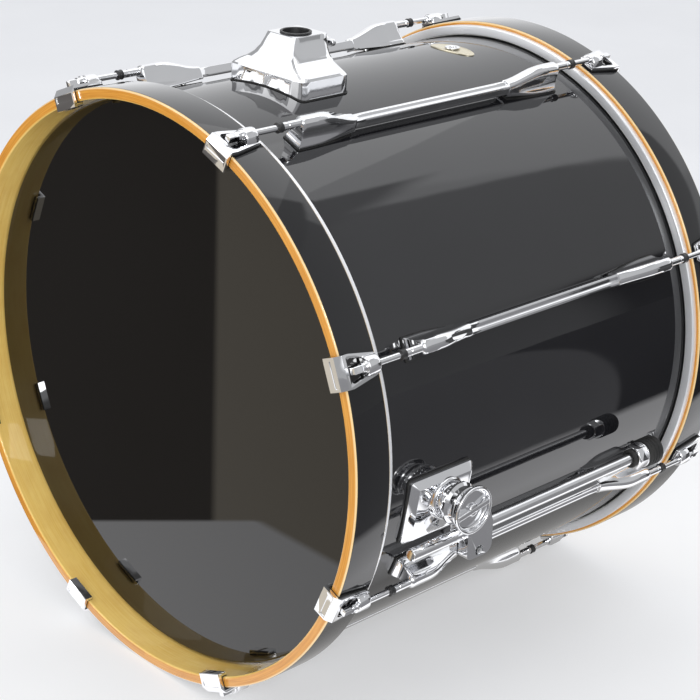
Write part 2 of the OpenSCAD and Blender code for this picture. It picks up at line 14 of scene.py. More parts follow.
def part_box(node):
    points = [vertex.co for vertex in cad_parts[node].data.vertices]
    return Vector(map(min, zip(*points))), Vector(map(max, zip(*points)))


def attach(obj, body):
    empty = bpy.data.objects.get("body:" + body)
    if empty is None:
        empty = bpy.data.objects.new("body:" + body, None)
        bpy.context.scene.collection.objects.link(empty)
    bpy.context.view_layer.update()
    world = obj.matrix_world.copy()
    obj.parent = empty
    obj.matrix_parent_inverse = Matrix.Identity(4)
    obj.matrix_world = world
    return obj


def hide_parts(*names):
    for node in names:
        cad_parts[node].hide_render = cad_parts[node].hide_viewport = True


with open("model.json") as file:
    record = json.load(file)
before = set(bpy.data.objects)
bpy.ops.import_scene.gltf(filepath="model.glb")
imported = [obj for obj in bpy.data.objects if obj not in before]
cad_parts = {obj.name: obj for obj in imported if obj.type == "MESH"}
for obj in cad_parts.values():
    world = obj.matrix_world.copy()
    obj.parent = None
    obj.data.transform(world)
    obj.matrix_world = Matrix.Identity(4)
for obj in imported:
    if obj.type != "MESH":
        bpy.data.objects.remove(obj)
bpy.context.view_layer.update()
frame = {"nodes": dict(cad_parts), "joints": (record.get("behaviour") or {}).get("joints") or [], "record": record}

MM = 0.001
RING_STEPS = 360
ROUND_STEPS = 64
scene = bpy.context.scene


# ---------- sizes, read from the frame ----------

def low(node, axis):
    """The least coordinate of a CAD node along an axis, in millimetres."""
    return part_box(node)[0][axis] / MM


def high(node, axis):
    """The greatest coordinate of a CAD node along an axis, in millimetres."""
    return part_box(node)[1][axis] / MM


def joint_pos(name):
    joint = next(j for j in frame["joints"] if j["name"] == name)
    return Vector(joint["pos_m"]) / MM


hoop_r = high("front_hoop", 0)
hoop_thick = 11
hoop_bore = hoop_r - hoop_thick
hoop_out = high("rear_hoop", 1)
hoop_in = low("rear_hoop", 1)
axis_z = hoop_r
shell_r = high("shell", 0)
shell_half = high("shell", 1)
shell_wall = 7
gasket = 1.2
lug_base = shell_r + gasket
lug_tip = high("lugs", 1)
lug_peak = 306
rod_place = joint_pos("front_rod_1_turn")
rod_circle = math.hypot(rod_place.x, rod_place.z - axis_z)
lug_angles = [22.5 + 45 * i for i in range(8)]
swivel = joint_pos("right_spur_swivel") - Vector((0, 0, axis_z))
leg_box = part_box("right_leg")
leg_r = (leg_box[1].z - leg_box[0].z) / MM / 2
leg_x = (leg_box[1].x + leg_box[0].x) / MM / 2
leg_z = (leg_box[1].z + leg_box[0].z) / MM / 2 - axis_z
leg_front = low("right_leg", 1)
leg_rear = high("right_leg", 1)
spur_angle = 99
pinch_y, pinch_z = -120, -86.5


# ---------- frames ----------

IDENTITY = Matrix.Identity(4)
AXIS = Matrix.Translation((0, 0, axis_z))
REAR = Matrix.Scale(-1, 4, (0, 1, 0))
LEFT = Matrix.Scale(-1, 4, (1, 0, 0))


def around(degrees):
    """The local frame at an angle round the drum, from the top towards +X."""
    return AXIS @ Matrix.Rotation(math.radians(degrees), 4, "Y")


def along(axis, at):
    """Turns a lathe's own axis (Y) onto X, Y or Z, at a point."""
    turn = {
        "X": Matrix.Rotation(math.radians(-90), 4, "Z"),
        "Y": IDENTITY,
        "Z": Matrix.Rotation(math.radians(90), 4, "X"),
    }[axis]
    return Matrix.Translation(at) @ turn


# ---------- mesh building ----------

def new_object(name, verts, faces):
    """A mesh object without double points or stray edges, with its faces outward."""
    mesh = bpy.data.meshes.new(name)
    mesh.from_pydata([tuple(v) for v in verts], [], faces)
    bm = bmesh.new()
    bm.from_mesh(mesh)
    bmesh.ops.remove_doubles(bm, verts=bm.verts, dist=1e-4)
    loose = [e for e in bm.edges if e.is_wire]
    bmesh.ops.delete(bm, geom=loose, context="EDGES")
    bmesh.ops.recalc_face_normals(bm, faces=bm.faces)
    bm.to_mesh(mesh)
    bm.free()
    obj = bpy.data.objects.new(name, mesh)
    scene.collection.objects.link(obj)
    return obj


def loft(name, rings, caps=True, wrap=False):
    """Quads between rings of points; wrap joins the last ring to the first one."""
    count = len(rings[0])
    verts = [p for ring in rings for p in ring]
    faces = []
    last = len(rings) if wrap else len(rings) - 1
    for k in range(last):
        a, b = k * count, ((k + 1) % len(rings)) * count
        for i in range(count):
            j = (i + 1) % count
            faces.append((a + i, a + j, b + j, b + i))
    if caps and not wrap:
        faces.append(tuple(range(count)))
        faces.append(tuple(range((len(rings) - 1) * count, len(rings) * count)))
    return new_object(name, verts, faces)


def lathe(name, profile, steps=ROUND_STEPS, ripple=None):
    """A closed profile of (radius, y) points, turned round Y. ripple(angle) scales the radius."""
    rings = []
    for k in range(steps):
        angle = math.tau * k / steps
        scale = ripple(angle) if ripple else 1
        rings.append([
            (r * scale * math.sin(angle), y, r * scale * math.cos(angle)) for r, y in profile])
    return loft(name, rings, wrap=True)


def prism(name, outline, start, end, plane="XY"):
    """An outline drawn out from start to end along the axis that its plane leaves free."""
    place = {
        "XY": lambda u, v, w: (u, v, w),
        "YZ": lambda u, v, w: (w, u, v),
        "XZ": lambda u, v, w: (u, w, v),
    }[plane]
    return loft(name, [[place(u, v, w) for u, v in outline] for w in (start, end)])


def arc(cx, cy, r, first, last, steps=5):
    """Points of an arc, with its angles in degrees."""
    angles = [math.radians(first + (last - first) * i / steps) for i in range(steps + 1)]
    return [(cx + r * math.cos(a), cy + r * math.sin(a)) for a in angles]


def rounded(x0, x1, y0, y1, *radii, steps=5):
    """A rectangle with round corners, whose radii go round from (x1, y1)."""
    a, b, c, d = radii if len(radii) == 4 else radii * 4
    return (arc(x1 - a, y1 - a, a, 0, 90, steps) + arc(x0 + b, y1 - b, b, 90, 180, steps)
            + arc(x0 + c, y0 + c, c, 180, 270, steps) + arc(x1 - d, y0 + d, d, 270, 360, steps))


def tube(r0, r1, y0, y1, soft=0.4):
    """A lathe profile of a tube or ring with softened corners."""
    return rounded(r0, r1, y0, y1, min(soft, (r1 - r0) / 2.1, (y1 - y0) / 2.1), steps=3)


def rod_profile(r, y0, y1, soft=0.5):
    """A lathe profile of a solid rod with softened ends."""
    return ([(0, y0), (r - soft, y0)] + arc(r - soft, y0 + soft, soft, -90, 0, 3)
            + arc(r - soft, y1 - soft, soft, 0, 90, 3) + [(0, y1)])


def moved(obj, matrix):
    """Moves an object's own points, and keeps its faces outward in a mirrored frame."""
    obj.data.transform(matrix)
    if matrix.determinant() < 0:
        obj.data.flip_normals()
    return obj


def apply_modifiers(obj):
    """Turns what the modifiers make into the object's own mesh."""
    graph = bpy.context.evaluated_depsgraph_get()
    mesh = bpy.data.meshes.new_from_object(obj.evaluated_get(graph))
    obj.modifiers.clear()
    obj.data = mesh
    return obj


def boolean(obj, tools, operation):
    """Joins or cuts an object with closed tools, which are used up."""
    for tool in tools:
        modifier = obj.modifiers.new(operation, "BOOLEAN")
        modifier.operation = operation
        modifier.solver = "EXACT"
        modifier.object = tool
    apply_modifiers(obj)
    for tool in tools:
        bpy.data.objects.remove(tool)
    return obj


def cut(obj, *tools):
    return boolean(obj, tools, "DIFFERENCE")


def fuse(obj, *tools):
    return boolean(obj, tools, "UNION")


def smooth(obj, angle=35):
    """Smooth shading, with sharp edges where faces meet at more than the angle."""
    obj.data.shade_smooth()
    obj.data.set_sharp_from_angle(angle=math.radians(angle))
    return obj


def bevel(obj, width, steps=3, angle=28):
    """Rounds the sharp edges, as a cast and plated piece has them."""
    modifier = obj.modifiers.new("edges", "BEVEL")
    modifier.width = width
    modifier.segments = steps
    modifier.limit_method = "ANGLE"
    modifier.angle_limit = math.radians(angle)
    modifier.use_clamp_overlap = True
    modifier.miter_outer = "MITER_ARC"
    apply_modifiers(obj)
    return smooth(obj)


def joined(name, *objs):
    """One object made of several closed shapes."""
    bm = bmesh.new()
    for obj in objs:
        bm.from_mesh(obj.data)
        bpy.data.objects.remove(obj)
    mesh = bpy.data.meshes.new(name)
    bm.to_mesh(mesh)
    bm.free()
    obj = bpy.data.objects.new(name, mesh)
    scene.collection.objects.link(obj)
    return smooth(obj)


def cylinder(axis, at, r, start, end, steps=ROUND_STEPS):
    """A plain cylinder, for cutting holes and joining bosses."""
    return moved(lathe("tool", [(0, start), (r, start), (r, end), (0, end)], steps), along(axis, at))


def place(obj, name, matrix, body, slot, *nodes):
    """Puts a finished piece, drawn in millimetres in a local frame, onto the drum."""
    obj.name = name
    obj.data.transform(Matrix.Scale(MM, 4) @ matrix)
    if matrix.determinant() < 0:
        obj.data.flip_normals()
    obj.data.materials.clear()
    obj.data.materials.append(MATERIALS[slot])
    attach(obj, body)
    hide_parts(*nodes)
    return obj


def copies(obj, names, matrices, bodies, slot, nodes):
    """Several copies of one piece, each with its own place, body and CAD node."""
    for name, matrix, body, node in zip(names, matrices, bodies, nodes):
        twin = bpy.data.objects.new(name, obj.data.copy())
        scene.collection.objects.link(twin)
        place(twin, name, matrix, body, slot, node)
    bpy.data.objects.remove(obj)


# ---------- materials ----------

class Shader:
    """A material under construction: one Principled shader and the nodes that feed it."""

    def __init__(self, name, **sockets):
        self.material = bpy.data.materials.new(name)
        self.material.use_nodes = True
        self.tree = self.material.node_tree
        self.main = self.tree.nodes["Principled BSDF"]
        for socket, value in sockets.items():
            self.main.inputs[socket.replace("_", " ")].default_value = value

    def add(self, kind, properties=None, **inputs):
        node = self.tree.nodes.new("ShaderNode" + kind)
        for key, value in (properties or {}).items():
            setattr(node, key, value)
        for key, value in inputs.items():
            socket = node.inputs[int(key[1:]) if key[0] == "_" else key.replace("_", " ")]
            if isinstance(value, bpy.types.NodeSocket):
                self.tree.links.new(value, socket)
            else:
                socket.default_value = value
        return node

    def place(self, scale=(1, 1, 1)):
        """The object's own coordinates in metres, stretched."""
        at = self.add("TexCoord").outputs["Object"]
        return self.add("Mapping", None, Vector=at, Scale=scale).outputs["Vector"]

    def noise(self, scale, detail=4.0, stretch=(1, 1, 1), rough=0.55, at=None):
        vector = at or self.place(stretch)
        return self.add("TexNoise", None, Vector=vector, Scale=scale, Detail=detail,
                        Roughness=rough).outputs["Fac"]

    def range(self, value, low_in, high_in, low_out, high_out):
        return self.add("MapRange", None, Value=value, From_Min=low_in, From_Max=high_in,
                        To_Min=low_out, To_Max=high_out).outputs["Result"]

    def mix(self, share, a, b):
        node = self.add("Mix", {"data_type": "RGBA"}, Factor=share)
        for index, value in ((6, a), (7, b)):
            if isinstance(value, bpy.types.NodeSocket):
                self.tree.links.new(value, node.inputs[index])
            else:
                node.inputs[index].default_value = (*value, 1)
        return node.outputs[2]

    def math(self, operation, a, b=0.0):
        return self.add("Math", {"operation": operation}, _0=a, _1=b).outputs[0]

    def bump(self, height, strength, depth, under=None):
        node = self.add("Bump", None, Height=height, Strength=strength, Distance=depth)
        if under:
            self.tree.links.new(under, node.inputs["Normal"])
        return node.outputs["Normal"]

    def wire(self, **outputs):
        for socket, value in outputs.items():
            self.tree.links.new(value, self.main.inputs[socket.replace("_", " ")])
        return self.material

    def axis_radius(self):
        """Distance from the drum's axis, for pieces whose points are in the drum's frame."""
        at = self.add("SeparateXYZ", None, Vector=self.add("TexCoord").outputs["Object"])
        up = self.math("SUBTRACT", at.outputs["Z"], axis_z * MM)
        square = self.math("ADD", self.math("POWER", self.math("ABSOLUTE", at.outputs["X"]), 2.0),
                           self.math("POWER", self.math("ABSOLUTE", up), 2.0))
        turn = self.math("ARCTAN2", at.outputs["X"], up)
        return self.math("SQRT", square), at.outputs["Y"], turn

    def round_the_drum(self, turns, lengthwise, outward):
        """Coordinates for grain that runs round the drum."""
        radius, y, turn = self.axis_radius()
        vector = self.add("CombineXYZ", None, X=self.math("MULTIPLY", turn, turns),
                          Y=self.math("MULTIPLY", y, lengthwise),
                          Z=self.math("MULTIPLY", radius, outward))
        return vector.outputs["Vector"]


def black_lacquer():
    """Polished black lacquer: deep, nearly a mirror, with a faint ripple and polishing haze."""
    s = Shader("shell_lacquer", IOR=1.72)
    tone = s.mix(s.noise(7.0), (0.006, 0.006, 0.007), (0.012, 0.012, 0.014))
    haze = s.range(s.noise(38.0, 6.0), 0.35, 0.75, 0.018, 0.05)
    ripple = s.bump(s.noise(9.0, 1.0), 0.05, 0.004)
    pores = s.bump(s.noise(900.0, 2.0), 0.02, 0.0002, ripple)
    return s.wire(Base_Color=tone, Roughness=haze, Normal=pores)


def hoop_wood():
    """Amber stained maple with a polished black band round the outside of the hoop, and a painted highlight along
    the outer rounding of the amber faces.
    """
    s = Shader("hoop_wood", IOR=1.2, Coat_Weight=1.0, Coat_Roughness=0.03)
    radius = s.axis_radius()[0]
    outside = s.range(radius, (hoop_r - 0.25) * MM, (hoop_r - 0.08) * MM, 0, 1)
    bore = s.range(radius, (hoop_bore + 0.4) * MM, (hoop_bore + 1.6) * MM, 1, 0)
    grain = s.noise(1.0, 6.0, rough=0.6, at=s.round_the_drum(5.0, 900.0, 900.0))
    figure = s.noise(1.0, 3.0, at=s.round_the_drum(9.0, 45.0, 45.0))
    streak = s.range(grain, 0.35, 0.68, 0, 1)
    edge = s.mix(streak, (0.52, 0.20, 0.022), (0.76, 0.36, 0.058))
    gold = s.mix(streak, (0.90, 0.60, 0.15), (0.97, 0.70, 0.23))
    amber = s.mix(bore, edge, gold)
    warm = s.mix(s.range(figure, 0.4, 0.7, 0, 0.25), amber, (0.66, 0.32, 0.05))
    # Painted highlight: the amber turns pale cream towards the outer rounding, in place of light caught by the
    # clear coat.
    rim = s.range(radius, (hoop_r - 2.0) * MM, (hoop_r - 0.9) * MM, 0, 0.65)
    amber_with_painted_highlight = s.mix(rim, warm, (0.97, 0.80, 0.46))
    colour = s.mix(outside, amber_with_painted_highlight, (0.008, 0.008, 0.009))
    rough = s.range(s.noise(60.0), 0.3, 0.7, 0.12, 0.24)
    finish = s.math("MULTIPLY", rough, s.range(outside, 0, 1, 1.0, 0.2))
    return s.wire(Base_Color=colour, Roughness=finish, Normal=s.bump(grain, 0.04, 0.0004))


def front_film():
    """Glossy black film, pulled flat: a clear mirror with the faintest haze."""
    s = Shader("front_film", IOR=1.56)
    tone = s.mix(s.noise(5.0), (0.0035, 0.003, 0.0025), (0.005, 0.0045, 0.004))
    haze = s.range(s.noise(22.0, 5.0), 0.3, 0.75, 0.012, 0.03)
    return s.wire(Base_Color=tone, Roughness=haze, Normal=s.bump(s.noise(2.5, 1.0), 0.02, 0.004))


def rear_film():
    """White coated film: a sprayed, slightly gritty coat with scuffs where the beater lands."""
    s = Shader("rear_film", IOR=1.5)
    at = s.add("TexCoord").outputs["Object"]
    offset = s.add("Mapping", None, Vector=at, Location=(0, -hoop_in * MM, -axis_z * MM)).outputs["Vector"]
    reach = s.add("VectorMath", {"operation": "LENGTH"}, _0=offset).outputs["Value"]
    wear = s.range(s.noise(70.0, 6.0), 0.4, 0.7, 0, 0.5)
    scuff = s.math("MULTIPLY", s.range(reach, 0.02, 0.07, 1, 0), wear)
    tone = s.mix(s.noise(3.0), (0.80, 0.80, 0.77), (0.84, 0.84, 0.82))
    colour = s.mix(scuff, tone, (0.52, 0.51, 0.49))
    grit = s.noise(1500.0, 2.0)
    return s.wire(Base_Color=colour, Roughness=s.range(grit, 0.3, 0.7, 0.42, 0.62),
                  Normal=s.bump(grit, 0.25, 0.0003))


def drawn_alloy():
    """Satin drawn aluminium, with fine draw lines round the hoop."""
    s = Shader("flesh_alloy", Metallic=0.55)
    lines = s.noise(1.0, 3.0, at=s.round_the_drum(2.0, 2600.0, 2600.0))
    tone = s.mix(lines, (0.84, 0.85, 0.87), (0.92, 0.93, 0.95))
    return s.wire(Base_Color=tone, Roughness=s.range(lines, 0.3, 0.7, 0.30, 0.42),
                  Normal=s.bump(lines, 0.08, 0.0002))


def chrome():
    """Polished chrome plate: a slight casting wave, finger haze and a tone that varies a little."""
    s = Shader("chrome", Metallic=1.0)
    tone = s.mix(s.noise(30.0), (0.80, 0.81, 0.83), (0.90, 0.90, 0.91))
    haze = s.range(s.noise(55.0, 6.0), 0.42, 0.78, 0.035, 0.13)
    wave = s.bump(s.noise(45.0, 1.0), 0.10, 0.0012)
    return s.wire(Base_Color=tone, Roughness=haze, Normal=s.bump(s.noise(700.0, 3.0), 0.03, 0.0002, wave))


def steel():
    """Zinc plated steel, a little blue and cloudy."""
    s = Shader("steel", Metallic=1.0)
    tone = s.mix(s.noise(160.0), (0.52, 0.54, 0.57), (0.68, 0.68, 0.66))
    return s.wire(Base_Color=tone, Roughness=s.range(s.noise(240.0, 5.0), 0.3, 0.7, 0.2, 0.42),
                  Normal=s.bump(s.noise(900.0, 3.0), 0.15, 0.0002))


def rubber():
    """Matt black rubber with a bloom of dust and a moulded grain."""
    s = Shader("rubber", IOR=1.5)
    tone = s.mix(s.range(s.noise(45.0, 5.0), 0.4, 0.8, 0, 1), (0.012, 0.012, 0.012), (0.035, 0.034, 0.032))
    return s.wire(Base_Color=tone, Roughness=s.range(s.noise(120.0), 0.3, 0.7, 0.5, 0.8),
                  Normal=s.bump(s.noise(1400.0, 3.0), 0.3, 0.0003))


def nylon():
    """Moulded black nylon with a fine texture."""
    s = Shader("nylon", IOR=1.52)
    tone = s.mix(s.noise(80.0), (0.014, 0.014, 0.015), (0.026, 0.026, 0.027))
    return s.wire(Base_Color=tone, Roughness=s.range(s.noise(300.0), 0.3, 0.7, 0.32, 0.5),
                  Normal=s.bump(s.noise(1800.0, 2.0), 0.15, 0.0002))


def badge_metal():
    """Blank satin badge in pale gold, brushed along its length."""
    s = Shader("badge_metal", Metallic=1.0)
    brush = s.noise(1.0, 4.0, stretch=(60, 2600, 60))
    tone = s.mix(brush, (0.60, 0.54, 0.40), (0.78, 0.73, 0.58))
    return s.wire(Base_Color=tone, Roughness=s.range(brush, 0.3, 0.7, 0.22, 0.4),
                  Normal=s.bump(brush, 0.12, 0.0002))


MATERIALS = {
    "shell_lacquer": black_lacquer(), "hoop_wood": hoop_wood(), "front_film": front_film(),
    "rear_film": rear_film(), "flesh_alloy": drawn_alloy(), "chrome": chrome(), "steel": steel(),
    "rubber": rubber(), "nylon": nylon(), "badge_metal": badge_metal(),
}


# ---------- shell, hoops and heads ----------

def shell():
    """Plywood tube with bearing edges that slope inwards at both ends."""
    inner = shell_r - shell_wall
    slope = 4.5
    profile = [(inner, -shell_half + slope), (inner + slope, -shell_half)]
    profile += arc(shell_r - 1.2, -shell_half + 1.2, 1.2, -90, 0, 3)
    profile += [(shell_r, y) for y in range(-200, 201, 40)]
    profile += arc(shell_r - 1.2, shell_half - 1.2, 1.2, 0, 90, 3)
    profile += [(inner + slope, shell_half), (inner, shell_half - slope)]
    body = smooth(lathe("shell_body", profile, RING_STEPS), 30)
    place(body, "shell_body", AXIS, "drum", "shell_lacquer", "shell")


def hoop(name, node, matrix):
    """Wooden hoop with rounded corners."""
    outline = rounded(hoop_bore, hoop_r, hoop_in, hoop_out, 2.2, steps=8)
    ring = smooth(lathe(name, outline, RING_STEPS), 30)
    place(ring, name, AXIS @ matrix, "drum", "hoop_wood", node)


def head(name, node, slot, matrix):
    """Film over the bearing edge, down its collar and into the flesh hoop."""
    film = 0.5
    collar = shell_r + 1.2
    bead = hoop_in - 3
    bend = 2.2
    outside = [(0, shell_half + film), (shell_r * 0.5, shell_half + film),
               (collar + film - bend - 6, shell_half + film)]
    outside += arc(collar + film - bend, shell_half + film - bend, bend, 90, 0, 8)
    outside += [(collar + film, bead), (collar + 3.4, bead), (collar + 3.4, bead - 2), (collar, bead - 2)]
    inside = arc(collar - bend, shell_half - bend, bend, 0, 90, 8)
    inside += [(collar - bend - 6, shell_half), (shell_r * 0.5, shell_half), (0, shell_half)]
    skin = smooth(lathe(name, outside + inside, RING_STEPS), 40)
    place(skin, name, AXIS @ matrix, "drum", slot, node)


def flesh_hoop(name, node, matrix):
    """Aluminium ring against the hoop, with a groove that holds the film."""
    outer = hoop_bore + 7.3
    bore = shell_r + 1.9
    start = hoop_in - 6.2
    groove = hoop_in - 3
    profile = arc(bore + 0.6, start + 0.6, 0.6, 180, 270, 3)
    profile += arc(outer - 1.2, start + 1.2, 1.2, -90, 0, 5)
    profile += arc(outer - 0.4, hoop_in - 0.4, 0.4, 0, 90, 3)
    profile += [(bore, hoop_in), (bore, groove + 0.1), (shell_r + 4.8, groove + 0.1),
                (shell_r + 4.8, groove - 2.1), (bore, groove - 2.1)]
    ring = smooth(lathe(name, profile, RING_STEPS), 40)
    place(ring, name, AXIS @ matrix, "drum", "flesh_alloy", node)


# ---------- lugs ----------

def ease(value, start, end):
    """Rises smoothly from 0 at the start to 1 at the end."""
    t = min(1.0, max(0.0, (value - start) / (end - start)))
    return t * t * (3 - 2 * t)


LUG_STEP = 104


def lug_section(y):
    """One cross-section of a lug: a grooved bar, then a step up to a flared end like a tent."""
    bar_half, bar_foot, bar_top = 5.4, shell_r + 5, shell_r + 15
    bar = [(0, bar_foot), (3.4, bar_foot), (4.9, bar_foot + 0.2), (bar_half, bar_foot + 1), (bar_half, 286),
           (bar_half, 288), (bar_half, 290), (bar_half, bar_top - 1.6), (5.0, bar_top - 0.5),
           (4.0, bar_top), (2.3, bar_top), (1.3, bar_top - 0.7), (0, bar_top - 1.5)]
    start = [(0, 281.6), (4.6, 281.6), (6.2, 281.8), (6.8, 282.5), (6.9, 284), (6.8, 286.2), (6.6, 288.6),
             (6.3, 290.8), (5.8, 292.6), (5.0, 293.8), (3.6, 294.5), (1.8, 294.8), (0, 294.9)]
    end = [(0, lug_base), (6.5, lug_base), (10.2, lug_base), (10.8, lug_base + 0.6), (10.8, lug_base + 1.8),
           (9.6, 283.4), (8.3, 286.5), (7.4, 291), (7.2, 296), (7.0, 300.2), (6.0, 303.6), (3.6, 305.5),
           (0, lug_peak)]
    reach = abs(y)
    if reach <= LUG_STEP:
        return mirrored(bar, y)
    swell = ease(reach, LUG_STEP - 12, 158)
    rise = ease(reach, LUG_STEP - 4, 150)
    base_round = (1 - min(0.97, max(0.0, (reach - lug_tip + 4) / 4.2)) ** 6) ** (1 / 6)
    nose_round = math.sqrt(1 - min(0.9, max(0.0, (reach - lug_tip + 4) / 5.0)) ** 2)
    half = []
    for (sx, sz), (ex, ez) in zip(start, end):
        x = sx + (ex - sx) * swell
        z = sz + (ez - sz) * rise
        x *= base_round + (nose_round - base_round) * ease(z, 288, 299)
        if z > rod_circle:
            z = rod_circle + (z - rod_circle) * nose_round
        half.append((x, z))
    return mirrored(half, y)


def mirrored(half, y):
    """A closed ring from one half of a section, whose foot follows the round shell."""
    foot = [(x, math.sqrt(lug_base ** 2 - x ** 2) if z < lug_base + 0.05 else z) for x, z in half]
    return [(x, y, z) for x, z in foot] + [(-x, y, z) for x, z in foot[-2:0:-1]]


def lugs():
    """Eight double-ended lugs, each with a hollow face and a nut's bore at both tips."""
    flare = [LUG_STEP + 0.25, 106, 110] + list(range(115, 171, 5))
    flare += [172, 173.2, 174.2, lug_tip - 0.2, lug_tip]
    half = [0, 30, 60, 90, LUG_STEP] + flare
    stations = [-v for v in reversed(half[1:])] + half
    casting = loft("lug", [lug_section(y) for y in stations])
    dish_r, dish_depth, dish_z = 16, 2.2, 289.5
    tools = []
    for end in (-1, 1):
        tools.append(cylinder("X", (0, end * (lug_tip + dish_r - dish_depth), dish_z), dish_r, -20, 20))
        tools.append(cylinder("Y", (0, end * (lug_tip - 30), rod_circle), 3.95, -4, 40))
    cut(casting, *tools)
    bevel(casting, 0.45, 2, 38)
    names = [f"lug_{i}" for i in range(1, 9)]
    copies(casting, names, [around(a) for a in lug_angles], ["drum"] * 8, "chrome", ["lugs"] * 8)


def swivel_nuts():
    """Sleeves in the lugs' tips, with a shallow groove; their thread isn't modelled."""
    start, length, r, bore = 66.5, 53, 3.9, 3.05
    profile = ([(bore, start)] + arc(r - 0.5, start + 0.5, 0.5, -90, 0, 4)
               + [(r, start + 5), (r - 0.35, start + 5.4), (r - 0.35, start + 6.2), (r, start + 6.6)]
               + [(r, start + length - 0.5), (r - 0.5, start + length), (bore, start + length)])
    nut = smooth(lathe("nut", profile, 40))
    moved(nut, Matrix.Translation((0, -hoop_out, rod_circle)))
    at_both_ends(nut, "swivel_nut", "chrome", "swivel_nuts")


def at_both_ends(obj, name, slot, node, rear_node=None):
    """Eight copies at the front and eight mirrored ones at the rear, all fixed to the drum."""
    for end, flip, used in (("front", IDENTITY, node), ("rear", REAR, rear_node or node)):
        twin = bpy.data.objects.new("twin", obj.data)
        scene.collection.objects.link(twin)
        names = [f"{end}_{name}_{i}" for i in range(1, 9)]
        places = [around(a) @ flip for a in lug_angles]
        copies(twin, names, places, ["drum"] * 8, slot, [used] * 8)
    bpy.data.objects.remove(obj)


# ---------- claws and rods ----------

def claw():
    """A thin windowed frame hooked over the hoop, with a sunk stripe in front and a smooth hump."""
    hook, face, end, bridge, window = -5, -1.5, 36.5, 20, 3.5
    wide, tail, front_wide = 15, 10, 6
    floor_r = hoop_r + 1.55
    rail_top, lip, bore_gap = floor_r + 3, hoop_bore - 5, hoop_bore - 1.6
    side = [(hook, lip + 0.6), (hook, rail_top - 6), (-0.5, rail_top), (window - 1.5, rail_top),
            (window - 1.5, floor_r), (face, floor_r), (face, bore_gap), (5, bore_gap), (5, lip + 1.2),
            (3.8, lip), (hook + 0.6, lip)]
    plate = prism("claw", side, -wide, wide, "YZ")
    stripe = rounded(-12.5, 12.5, 284.8, 290.8, 1.6, steps=4)
    cut(plate, prism("stripe", stripe, hook - 2, hook + 0.8, "XZ"))
    plan = [(-wide, 0.5), (wide, 0.5), (wide, front_wide)] + arc(tail - 3, end - 3, 3, 0, 90)
    plan += arc(3 - tail, end - 3, 3, 90, 180) + [(-wide, front_wide)]
    rails = prism("rails", plan, floor_r, rail_top)
    opening = [(8.8, bridge + 0.4), (-8.8, bridge + 0.4)] + arc(-7, window + 4, 4, 180, 270)
    opening += arc(7, window + 4, 4, 270, 360)
    cut(rails, prism("window", opening, floor_r - 5, rail_top + 5))
    hump_r = 9.4
    hump = moved(lathe("hump", rod_profile(hump_r, bridge, end - 2, 2.0)),
                 Matrix.Translation((0, 0, lug_peak - hump_r)))
    cut(hump, prism("below", rounded(-12, 12, bridge - 3, end + 3, 1), 280, floor_r + 0.1))
    fuse(plate, rails, hump)
    cut(plate, cylinder("Y", (0, 0, rod_circle), 3.3, bridge - 4, end + 4, 32))
    bevel(plate, 0.7, 3, 30)
    moved(plate, Matrix.Translation((0, -hoop_out, 0)))
    at_both_ends(plate, "claw", "chrome", "front_claws", "rear_claws")


def rods():
    """Key rods: a square drive, a flange and a plain shank."""
    drive, r, bridge, reach = 3.1, 3.0, 20, 80
    flange = bridge - 2
    square = prism("drive", rounded(-drive, drive, -drive, drive, 0.5, steps=2), 4, flange + 0.1, "XZ")
    bevel(square, 0.5, 2)
    profile = ([(0, flange - 4), (4.4, flange - 4), (4.4, flange - 0.4), (4.8, flange)]
               + arc(5.1, flange + 0.5, 0.5, -90, 0, 3)
               + arc(5.1, bridge - 0.55, 0.5, 0, 90, 3) + [(r, bridge)]
               + [(r, bridge + reach - 0.6), (r - 0.6, bridge + reach), (0, bridge + reach)])
    rod = joined("rod", square, lathe("shank", profile, 40))
    moved(rod, Matrix.Translation((0, -hoop_out, rod_circle)))
    for end, flip in (("front", IDENTITY), ("rear", REAR)):
        twin = bpy.data.objects.new("twin", rod.data)
        scene.collection.objects.link(twin)
        nodes = [f"{end}_rod_{i}" for i in range(1, 9)]
        places = [around(a) @ flip for a in lug_angles]
        copies(twin, [n + "_key_rod" for n in nodes], places, nodes, "chrome", nodes)
    bpy.data.objects.remove(rod)


def rod_washers():
    """Black lock washers on the rods, against the nuts."""
    start, r, bore = 60.4, 4.9, 3.05
    profile = ([(bore, start)] + arc(r - 0.7, start + 0.7, 0.7, -90, 0, 4) + [(r - 0.5, start + 2.9)]
               + [(r - 0.5, start + 3.1)] + arc(r - 0.7, start + 5.3, 0.7, 0, 90, 4) + [(bore, start + 6)])
    washer = smooth(lathe("washer", profile, 40), 50)
    moved(washer, Matrix.Translation((0, -hoop_out, rod_circle)))
    at_both_ends(washer, "rod_washer", "nylon", "rod_washers")


# ---------- tom mount ----------

socket = next(m for m in frame["record"]["mounts"] if m["name"] == "tom_post_socket")
tower_y = socket["pos_m"][1] / MM
wing_z = joint_pos("wing_bolt_turn").z - axis_z
socket_r = 12.8
tower_top = high("tom_mount_base", 2) - axis_z


